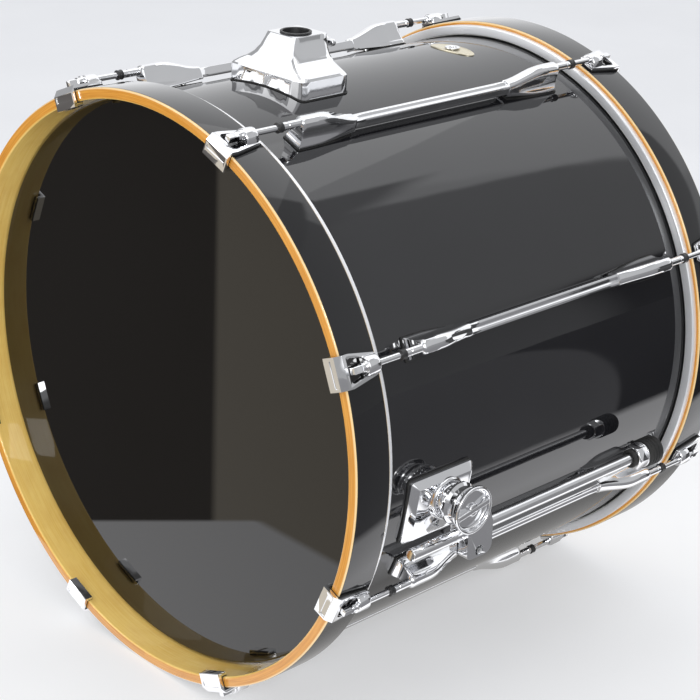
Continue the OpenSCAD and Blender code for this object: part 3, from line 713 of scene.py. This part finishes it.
def tom_mount():
    """A skirt that follows the shell and sweeps up, hollow at the sides, into the tower."""
    # Height, half width, front, rear and corner radius of each level
    levels = ((291, 52, -113, -53, 5), (293.2, 50, -111.6, -54.2, 4.5), (297, 43.5, -110, -55.4, 4),
              (301, 36, -107.2, -56, 4), (306, 29.2, -103.8, -54.8, 4), (312, 24.6, -100, -53.6, 3.5),
              (320, 21.6, -96.2, -53.2, 3), (tower_top - 0.6, 20.6, -94, -53.2, 2.6),
              (tower_top, 20, -93.4, -53.8, 2))

    def outline(half_x, y0, y1, corner):
        """A rounded rectangle with extra points along its straight sides."""
        points = rounded(-half_x, half_x, y0, y1, corner, steps=2)
        split = []
        for i, (x, y) in enumerate(points):
            next_x, next_y = points[(i + 1) % len(points)]
            parts = 10 if i % 3 == 2 else 1
            split += [(x + (next_x - x) * k / parts, y + (next_y - y) * k / parts) for k in range(parts)]
        return split

    foot = [(x, y, math.sqrt(lug_base ** 2 - x ** 2)) for x, y in outline(*levels[0][1:])]
    rings = [[(x, y, z) for x, y in outline(*size)] for z, *size in levels]
    base = loft("mount", [foot] + rings)
    boss = moved(lathe("boss", rod_profile(8, 0, 28, 0.8)), along("Y", (0, tower_y, wing_z)))
    fuse(base, boss)
    bore = cylinder("Z", (0, tower_y, 0), 14.55, 250, 340)
    bolt_hole = cylinder("Y", (0, tower_y, wing_z), 3.3, 0, 40)
    cut(base, bore, bolt_hole)
    bevel(base, 0.7, 3, 24)
    place(base, "tom_mount_casting", AXIS, "drum", "chrome", "tom_mount_base")


def tom_socket():
    """Plastic bush in the tower, with a thin rim on top."""
    bottom, outer, rim, top = 284, 14.5, 15.4, 326.5
    profile = [(socket_r, bottom), (outer, bottom), (outer, 325.02), (rim - 0.5, 325.02)]
    profile += arc(rim - 0.7, top - 0.7, 0.7, 0, 90, 4) + arc(socket_r + 0.8, top - 0.8, 0.8, 90, 180, 4)
    liner = moved(lathe("liner", profile), along("Z", (0, tower_y, 0)))
    cut(liner, cylinder("Y", (0, tower_y, wing_z), 6.3, 0, 21))
    smooth(liner, 40)
    place(liner, "tom_socket_bush", AXIS, "drum", "nylon", "tom_socket_liner")


def wing_bolt():
    """T-bolt behind the tower, with a collar and a round-ended wing."""
    hub = tower_y + 30
    shank = lathe("shank", rod_profile(3, tower_y + 19.1, hub + 2, 0.3))
    collar = lathe("collar", [(0, hub), (4.6, hub)] + arc(4.7, hub + 0.8, 0.8, -90, 0, 3)
                   + [(5.5, hub + 8.4)] + arc(3.9, hub + 8.4, 1.6, 0, 90, 4) + [(0, hub + 10)])
    grip = arc(12, 0, 3.5, -90, 90, 12) + arc(-12, 0, 3.5, 90, 270, 12)
    wing = prism("wing", grip, hub + 4, hub + 9, "XZ")
    bevel(wing, 1.3, 4)
    bolt = joined("bolt", shank, collar, wing)
    matrix = AXIS @ Matrix.Translation((0, 0, wing_z))
    place(bolt, "tom_t_bolt", matrix, "wing_bolt", "chrome", "tom_wing_bolt")


# ---------- badge and vent ----------

def on_shell(tangent, y, height):
    """A point on the shell at an arc length from the top, as seen in the drum's own frame."""
    angle = tangent / shell_r
    r = shell_r + height
    return (r * math.sin(angle), y, r * math.cos(angle))


def badge():
    """Blank oval plate with a raised rim, bent to the shell, and the grommet through it."""
    half_w, half_l, hole, vent_y, steps = 29, 12, 5.2, 145, 72
    rings = [(0.0, 0.05), (0.0, 0.75), (0.03, 0.85), (0.70, 0.78), (0.82, 0.74), (0.86, 0.9), (0.9, 1.1),
             (0.96, 1.1), (1.0, 0.8), (1.0, 0.05)]
    points = []
    for share, height in rings:
        ring = []
        for k in range(steps):
            a = math.tau * k / steps
            x = (hole + (half_w - hole) * share) * math.cos(a)
            y = (hole + (half_l - hole) * share) * math.sin(a)
            ring.append(on_shell(x, vent_y + y, height))
        points.append(ring)
    plate = smooth(loft("badge", points, wrap=True), 50)
    place(plate, "badge_plate", AXIS, "drum", "badge_metal", "badge")
    bore, rim = 3.8, 8
    inner = shell_r - shell_wall - 1.5
    outline = [(bore, inner), (7.5, inner), (7.5, inner + 1.2), (5, inner + 1.2), (5, shell_r + 1.2),
               (rim - 0.4, shell_r + 1.2)]
    outline += arc(rim - 0.8, shell_r + 1.9, 0.8, -30, 90, 4)
    outline += arc(bore + 1.2, shell_r + 1.2, 1.2, 90, 180, 4)
    grommet = moved(smooth(lathe("grommet", outline, 48), 50), along("Z", (0, vent_y, 0)))
    place(grommet, "air_vent_grommet", AXIS, "drum", "chrome", "vent_grommet")


# ---------- spurs ----------

def bracket():
    """Bevelled plate on the shell, with the swivel's hub and its ring of ratchet teeth."""
    plate_y, half_y, half_x, corner = -142.5, 39.5, 33, 4
    side, top, slope = 280.8, 287, 6
    outline = rounded(-half_x, half_x, -half_y, half_y, corner, steps=3)
    inner = rounded(slope - half_x, half_x - slope, slope - half_y, half_y - slope, 1.5, steps=3)
    bottom = [(x, y, math.sqrt(lug_base ** 2 - x ** 2)) for x, y in outline]
    plate = loft("plate", [bottom, [(x, y, side) for x, y in outline], [(x, y, top) for x, y in inner]])
    moved(plate, Matrix.Rotation(math.radians(spur_angle), 4, "Y") @ Matrix.Translation((0, plate_y, 0)))
    at = Vector((0, swivel.y, swivel.z))
    hub = moved(lathe("hub", [(0, 272), (22, 272), (21, 283)] + arc(17.5, 287, 3.2, 10, 80, 4)
                      + [(15.5, 290.4), (15.5, 295), (14.8, 296), (0, 296)]), along("X", at))

    def ratchet(angle):
        """Flat-topped teeth round the rim."""
        wave = 3 * math.sin(24 * angle)
        return 1 + 0.035 * max(-1, min(1, wave))

    rim = [(4.2, 293.5), (15.0, 293.5), (15.8, 294), (15.8, 297.0), (15.0, 297.5), (4.2, 297.5)]
    teeth = lathe("teeth", rim, 192, ratchet)
    moved(teeth, along("X", at))
    fuse(plate, hub)
    bevel(plate, 0.8, 3, 24)
    return joined("bracket", plate, teeth)


def spur_clamp():
    """Swivel hub and the split block that grips the leg."""
    inner, outer, start = leg_x - 2, leg_x + 11.9, leg_x - 10
    sy, sz = swivel.y, swivel.z
    hub = moved(lathe("clamp", [(0, inner), (19.3, inner), (20.5, inner + 1.2), (20.5, inner + 3.4),
                                (17.8, inner + 5.6), (17.2, outer - 4.6), (19.4, outer - 2.6),
                                (19.4, outer - 0.8), (18.6, outer), (0, outer)]), along("X", (0, sy, sz)))
    arm = [(sy - 17, sz - 8), (-136, -63), (-103, -63), (-109, sz - 8), (sy + 16, sz + 6)]
    block = [(-136, -61), (-136, -87)] + arc(-130, -87, 6, 180, 270)
    block += arc(-112, -84, 9, 270, 360) + [(-103, -61)]
    fuse(hub, prism("arm", arm, inner, outer, "YZ"), prism("block", block, start, outer, "YZ"))
    slit = prism("slit", [(leg_x - 1, -110), (leg_x + 1, -110), (leg_x + 1, leg_z), (leg_x - 1, leg_z)],
                 -200, -50, "XZ")
    cut(hub, cylinder("Y", (leg_x, 0, leg_z), leg_r + 0.05, -200, -50), slit,
        cylinder("X", (0, sy, sz), 4.1, 280, 330, 32),
        cylinder("X", (0, pinch_y, pinch_z), 2.6, 280, 330, 32),
        cylinder("X", (0, pinch_y, pinch_z), 4.8, outer - 5, 330, 32))
    bevel(hub, 1.0, 3, 26)
    rim = [(14, inner - 0.4), (19.5, inner - 0.4), (20.2, inner + 0.4), (20.2, inner + 2), (14, inner + 2)]
    teeth = lathe("teeth", rim, 192, lambda angle: 1 + 0.02 * math.sin(32 * angle))
    moved(teeth, along("X", (0, sy, sz)))
    return joined("clamp", hub, teeth)


def spur_knob():
    """Round turn-knob: rolled rim, deep dish and a narrow grip bar across it."""
    face, r, depth = leg_x + 12.1, 23, 8.5
    rim = face + depth
    dish = rim - 5.6
    back = face + 4.1
    profile = [(4.1, face), (13, face), (r - 1.6, back)] + arc(r - 1.3, back + 1.3, 1.3, -90, 0, 4)
    profile += arc(r - 1.5, rim - 1.5, 1.5, 0, 180, 9)
    profile += [(r - 3.1, rim - 3.0)] + arc(r - 6.1, dish + 2.8, 2.8, 0, -90, 6)
    profile += [(9, dish + 0.8), (4.1, dish + 1.2)]
    disc = lathe("disc", profile, 96)
    bar = prism("bar", rounded(-20.2, 20.2, -2.6, 2.6, 1.2, steps=4), dish - 0.6, rim - 0.5, "YZ")
    bevel(bar, 1.2, 4, 30)
    moved(bar, Matrix.Rotation(math.radians(10), 4, "X"))
    dome = [(0, dish), (6.8, dish), (6.0, rim - 2.4)] + arc(4.6, rim - 2.2, 1.3, 20, 90, 3)
    cap = lathe("cap", dome + [(0, rim - 0.8)])
    sideways = along("X", (0, 0, 0))
    knob = joined("knob", moved(disc, sideways), bar, moved(cap, sideways))
    return moved(knob, Matrix.Translation((0, swivel.y, swivel.z)))


def pinch_bolt():
    """Square-headed bolt with a flange, set in the clamp."""
    outer = leg_x + 12
    shank = lathe("shank", rod_profile(2.5, leg_x - 9, outer - 4, 0.3), 32)
    flange = lathe("flange", rod_profile(4.5, outer - 4.9, outer - 2.5, 0.5), 32)
    square = rounded(-2.6, 2.6, -2.6, 2.6, 0.4, steps=2)
    top = bevel(prism("head", square, outer - 3, outer + 1, "YZ"), 0.4, 2)
    sideways = along("X", (0, 0, 0))
    bolt = joined("bolt", moved(shank, sideways), moved(flange, sideways), top)
    return moved(bolt, Matrix.Translation((0, pinch_y, pinch_z)))


def leg_tube():
    """Tube with a closed, rounded front end."""
    bore = leg_r - 1.5
    profile = [(0, leg_front)] + arc(leg_r - 1.4, leg_front + 1.4, 1.4, -90, 0, 5)
    profile += [(leg_r, y) for y in range(-180, 121, 30)]
    profile += arc(leg_r - 0.4, leg_rear - 0.4, 0.4, 0, 90, 3)
    profile += [(bore, leg_rear), (bore, leg_front + 4), (0, leg_front + 4)]
    return moved(lathe("leg", profile, 48), Matrix.Translation((leg_x, 0, leg_z)))


def spike():
    """Steel point inside the rubber foot."""
    r = leg_r - 1.55
    end = leg_rear + 12
    profile = [(0, leg_rear - 20), (r, leg_rear - 20), (r, end - 0.3), (r - 0.3, end)]
    profile += [(0.5, end + 7.7), (0, end + 8)]
    return moved(smooth(lathe("spike", profile, 40), 25), Matrix.Translation((leg_x, 0, leg_z)))


def foot_collar():
    """Hexagon nut with chamfered corners, and the flange that backs the rubber tip."""
    corner = 12.9
    corners = [math.radians(60 * i) for i in range(6)]
    flats = [(corner * math.cos(a), corner * math.sin(a)) for a in corners]
    nut = prism("nut", flats, leg_rear - 14, leg_rear - 1, "XZ")
    cone = lathe("cone", [(0, leg_rear - 16), (9.6, leg_rear - 14.4), (13.1, leg_rear - 12),
                          (13.1, leg_rear), (0, leg_rear)])
    boolean(nut, [cone], "INTERSECT")
    flange = lathe("flange", tube(leg_r + 0.1, 13.2, leg_rear - 2.2, leg_rear, 0.7))
    cut(nut, cylinder("Y", (0, 0, 0), leg_r + 0.1, leg_rear - 20, leg_rear + 5))
    bevel(nut, 0.4, 2, 25)
    return moved(joined("collar", nut, flange), Matrix.Translation((leg_x, 0, leg_z)))


def foot_tip():
    """Ribbed rubber tip with a round nose, and the black lock ring in front of the nut."""
    start, r, bore = leg_rear + 0.1, 14.5, 4.7
    outline = [(bore, start)] + arc(r - 0.8, start + 0.8, 0.8, -90, 0, 3)
    for k in range(3):
        y = start + 4.2 + 4.2 * k
        outline += [(r, y - 0.9), (r - 0.7, y - 0.4), (r - 0.7, y + 0.4), (r, y + 0.9)]
    outline += arc(r - 3.2, start + 17.8, 3.2, 0, 90, 6) + [(bore, start + 21)]
    tip = lathe("tip", outline)
    cut(tip, cylinder("Y", (0, 0, 0), leg_r + 0.2, start - 2, start + 14))
    ring = lathe("ring", tube(leg_r + 0.1, 9.2, leg_rear - 18, leg_rear - 14.3, 0.9), 144,
                 lambda a: 1 + 0.012 * math.sin(36 * a))
    return moved(joined("foot", smooth(tip, 50), ring), Matrix.Translation((leg_x, 0, leg_z)))


def spurs():
    """Both spurs: each piece is drawn for the right one and mirrored for the left."""
    parts = (
        (bracket, "spur_bracket", "drum", "chrome"), (spur_clamp, "spur_clamp", "spur", "chrome"),
        (spur_knob, "spur_knob", "knob", "chrome"), (pinch_bolt, "pinch_bolt", "pinch", "steel"),
        (leg_tube, "leg", "leg_tube", "chrome"), (spike, "spike", "leg_tube", "steel"),
        (foot_collar, "foot_collar", "foot_tip", "chrome"), (foot_tip, "foot", "foot_tip", "rubber"))
    for build, node, body, slot in parts:
        shape = build()
        sides = ("right", "left")
        bodies = [body if body == "drum" else f"{side}_{body}" for side in sides]
        copies(shape, [f"{side}_{node}_detail" for side in sides], [AXIS, AXIS @ LEFT], bodies, slot,
               [f"{side}_{node}" for side in sides])


# ---------- CAD nodes that stay ----------

def finish_cad_nodes():
    """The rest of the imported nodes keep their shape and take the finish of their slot."""
    slots = {row["node"]: row["material_slot"] for row in frame["record"]["subparts"]}
    for name, obj in frame["nodes"].items():
        obj.data.materials.clear()
        obj.data.materials.append(MATERIALS[slots[name]])


# ---------- stage ----------

def world_light():
    """Even light for matt surfaces, and a studio with bright cloths and dark gaps for glossy ones."""
    world = bpy.data.worlds.new("studio")
    scene.world = world
    world.use_nodes = True
    tree = world.node_tree
    tree.nodes.clear()

    def add(kind, properties=None, **inputs):
        node = tree.nodes.new("ShaderNode" + kind)
        for key, value in (properties or {}).items():
            setattr(node, key, value)
        for key, value in inputs.items():
            socket = node.inputs[int(key[1:]) if key[0] == "_" else key.replace("_", " ")]
            if isinstance(value, bpy.types.NodeSocket):
                tree.links.new(value, socket)
            else:
                socket.default_value = value
        return node

    def calc(operation, a, b=0.0):
        return add("Math", {"operation": operation}, _0=a, _1=b).outputs[0]

    way = add("SeparateXYZ", None, Vector=add("TexCoord").outputs["Generated"])
    back = calc("ADD", calc("ARCTAN2", calc("MULTIPLY", way.outputs["X"], -1.0), way.outputs["Y"]), math.pi)
    turn = calc("MULTIPLY", back, 180 / math.pi)
    tilt = calc("MULTIPLY", calc("ARCSINE", way.outputs["Z"]), 180 / math.pi)

    def within(value, start, end, soft):
        rise = add("MapRange", {"interpolation_type": "SMOOTHSTEP"}, Value=value, From_Min=start - soft,
                   From_Max=start + soft, To_Min=0.0, To_Max=1.0).outputs["Result"]
        fall = add("MapRange", {"interpolation_type": "SMOOTHSTEP"}, Value=value, From_Min=end - soft,
                   From_Max=end + soft, To_Min=1.0, To_Max=0.0).outputs["Result"]
        return calc("MULTIPLY", rise, fall)

    # A slanting edge: its turn grows by the slope for each degree of tilt
    slope, slant, far = 0.75, 134, -300
    lean = calc("SUBTRACT", turn, calc("MULTIPLY", tilt, slope))
    # The angle used with its start and end, lowest and highest tilt, brightness, soft edge, and
    # whether the area ends at the slanting edge. The turn is 0 in front, 90 right and 180 behind.
    areas = (
        (turn, -1, 95, -91, 66, 0.42, 6, False),  # dim, from the front to the right
        (turn, 240, 361, -91, 66, 0.42, 6, False),  # dim, from the left to the front
        (turn, 298, 357, -12, 58, 1.35, 3, False),  # bright, at the front left
        (turn, 28, 84, 8, 52, 1.35, 4, False),  # bright, behind the camera
        (lean, slant, 175, 26, 91, 1.32, 1.5, False),  # bright, high at the rear
        (turn, 95, 163, 12, 60, 0.56, 1.0, True),  # grey, on the right of the slanting edge
        (turn, 95, 172, 45.5, 60, 0.5, 1, False),  # grey band across both
        (turn, 95, 180, -3, 12, 0.32, 2, False),  # darker band along the horizon
        (turn, 138.3, 180, -3, 12, 0.06, 1, False),  # nearly black end of that band
        (turn, 95, 180, -91, -2, 0.2, 1, False))  # dark, below the horizon
    level = 1.12
    for angle, first, last, lowest, highest, value, soft, stops in areas:
        share = calc("MULTIPLY", within(angle, first, last, soft), within(tilt, lowest, highest, soft))
        if stops:
            share = calc("MULTIPLY", share, within(lean, far, slant, soft))
        rest = calc("MULTIPLY", level, calc("SUBTRACT", 1.0, share))
        level = calc("ADD", rest, calc("MULTIPLY", share, value))
    studio = add("Background", None, Color=(0.97, 0.98, 1.0, 1), Strength=level)
    even = add("Background", None, Color=(0.97, 0.98, 1.0, 1), Strength=0.95)
    pale = add("Background", None, Color=(0.84, 0.85, 0.87, 1), Strength=1.0)
    path = add("LightPath")
    glossy = add("MixShader", None, _0=path.outputs["Is Glossy Ray"], _1=even.outputs[0],
                 _2=studio.outputs[0])
    shown = add("MixShader", None, _0=path.outputs["Is Camera Ray"], _1=glossy.outputs[0],
                _2=pale.outputs[0])
    output = add("OutputWorld", None, Surface=shown.outputs[0])
    tree.links.new(shown.outputs[0], output.inputs["Surface"])


def area_light(name, at, target, size, power):
    """A white rectangular lamp that faces its target."""
    data = bpy.data.lights.new(name, "AREA")
    data.shape = "RECTANGLE"
    data.size, data.size_y = size
    data.energy = power
    lamp = bpy.data.objects.new(name, data)
    scene.collection.objects.link(lamp)
    lamp.location = at
    lamp.rotation_mode = "QUATERNION"
    lamp.rotation_quaternion = (Vector(target) - Vector(at)).to_track_quat("-Z", "Y")


def floor():
    """A pale table under the lamps that also glows by itself as painted light. Mirrors see a painted reflection on
    it: bright round the drum, a painted shadow under the drum, and darker patches further out.
    """
    half, steps, top = 12.0, 24, -0.0005
    verts = [(half * (2 * i / steps - 1), half * (2 * j / steps - 1), top)
             for j in range(steps + 1) for i in range(steps + 1)]
    row = steps + 1
    faces = [(j * row + i, j * row + i + 1, (j + 1) * row + i + 1, (j + 1) * row + i)
             for j in range(steps) for i in range(steps)]
    table = new_object("floor", verts, faces)
    s = Shader("floor_table", Roughness=0.85)
    soft = s.range(s.noise(2.2, 3.0), 0.3, 0.7, 0, 1)
    pale = s.mix(soft, (0.47, 0.475, 0.485), (0.50, 0.505, 0.515))
    # Painted light: the table glows by itself, which fills in its shadows.
    painted_glow = s.mix(soft, (0.42, 0.42, 0.424), (0.45, 0.45, 0.454))
    at = s.add("SeparateXYZ", None, Vector=s.add("TexCoord").outputs["Object"])
    x, y = at.outputs["X"], at.outputs["Y"]

    def beyond(slope_x, slope_y, edge, soft_edge=0.006):
        """1 where slope_x * x + slope_y * y is more than the edge."""
        reach = s.math("ADD", s.math("MULTIPLY", x, slope_x), s.math("MULTIPLY", y, slope_y))
        return s.range(reach, edge - soft_edge, edge + soft_edge, 0, 1)

    # Painted reflection: glossy rays see a map of bright and dark patches on the table, not its colour under the
    # lamps.
    painted_dark_right = s.mix(beyond(-0.97, 1, 0), (0.22, 0.22, 0.23), (0.02, 0.02, 0.022))
    painted_front_reflection = s.mix(beyond(0.845, -1, 0.286), (0.085, 0.075, 0.068), (0.62, 0.56, 0.465))
    # Painted reflection: brightest round the drum.
    near = s.math("MULTIPLY", beyond(1.2, 1, -0.672), beyond(0, 1, -0.485))
    painted_reflection = s.mix(near, painted_front_reflection, (1.3, 1.3, 1.33))
    painted_reflection = s.mix(s.math("MULTIPLY", beyond(-1, 0, 0.32), beyond(0, 1, -0.2)), painted_reflection, (0.85, 0.86, 0.88))
    painted_reflection = s.mix(beyond(1, 0, 0.505, 0.02), painted_reflection, painted_dark_right)
    # Painted shadow: mirrors see the table under the drum darker.
    under = s.math("MULTIPLY", beyond(1, 0, -0.3, 0.06), beyond(-1, 0, -0.3, 0.06))
    painted_reflection = s.mix(s.math("MULTIPLY", under, beyond(0, 1, -0.24, 0.03)), painted_reflection, (0.40, 0.395, 0.39))
    # Painted light: the glow fades towards the rear left.
    painted_glow = s.mix(beyond(-0.7, 0.7, 0.9, 0.9), painted_glow, (0.28, 0.285, 0.30))
    mirror = s.add("LightPath").outputs["Is Glossy Ray"]
    # Glossy rays see only the painted reflection, as emission; other rays see the pale colour under the lamps plus
    # the painted glow.
    s.wire(Base_Color=s.mix(mirror, pale, (0, 0, 0)), Emission_Color=s.mix(mirror, painted_glow, painted_reflection),
           Normal=s.bump(s.noise(650.0, 2.0), 0.2, 0.0004))
    s.main.inputs["Emission Strength"].default_value = 1.0
    table.data.materials.append(s.material)


def camera():
    """The photograph's point of view."""
    data = bpy.data.cameras.new("camera")
    data.lens = 96.7
    data.sensor_width = 36
    data.clip_end = 60
    eye = bpy.data.objects.new("camera", data)
    scene.collection.objects.link(eye)
    forward = Vector((-0.659, 0.649, -0.380)).normalized()
    up = Vector((-0.297, 0.239, 0.924))
    side = forward.cross(up).normalized()
    up = side.cross(forward)
    turn = Matrix((side, up, -forward)).transposed()
    eye.matrix_world = Matrix.Translation((1.302, -1.269, 1.019)) @ turn.to_4x4()
    scene.camera = eye


finish_cad_nodes()
shell()
hoop("front_hoop_wood", "front_hoop", REAR)
hoop("rear_hoop_wood", "rear_hoop", IDENTITY)
head("front_head_film", "front_head", "front_film", REAR)
head("rear_head_film", "rear_head", "rear_film", IDENTITY)
flesh_hoop("front_flesh_ring", "front_flesh_hoop", REAR)
flesh_hoop("rear_flesh_ring", "rear_flesh_hoop", IDENTITY)
lugs()
swivel_nuts()
claw()
rods()
rod_washers()
tom_mount()
tom_socket()
wing_bolt()
badge()
spurs()

world_light()
area_light("overhead", (-0.6, 0.4, 3.4), (0, 0, 0.2), (4.0, 3.6), 16)
area_light("front_right", (1.95, -1.85, 1.55), (-0.1, -0.2, 0.15), (0.65, 0.65), 20)
area_light("front_left", (-1.6, -2.4, 1.9), (0, -0.1, 0.3), (1.6, 1.4), 12)
floor()
camera()
scene.view_settings.view_transform = "Standard"
scene.view_settings.look = "None"
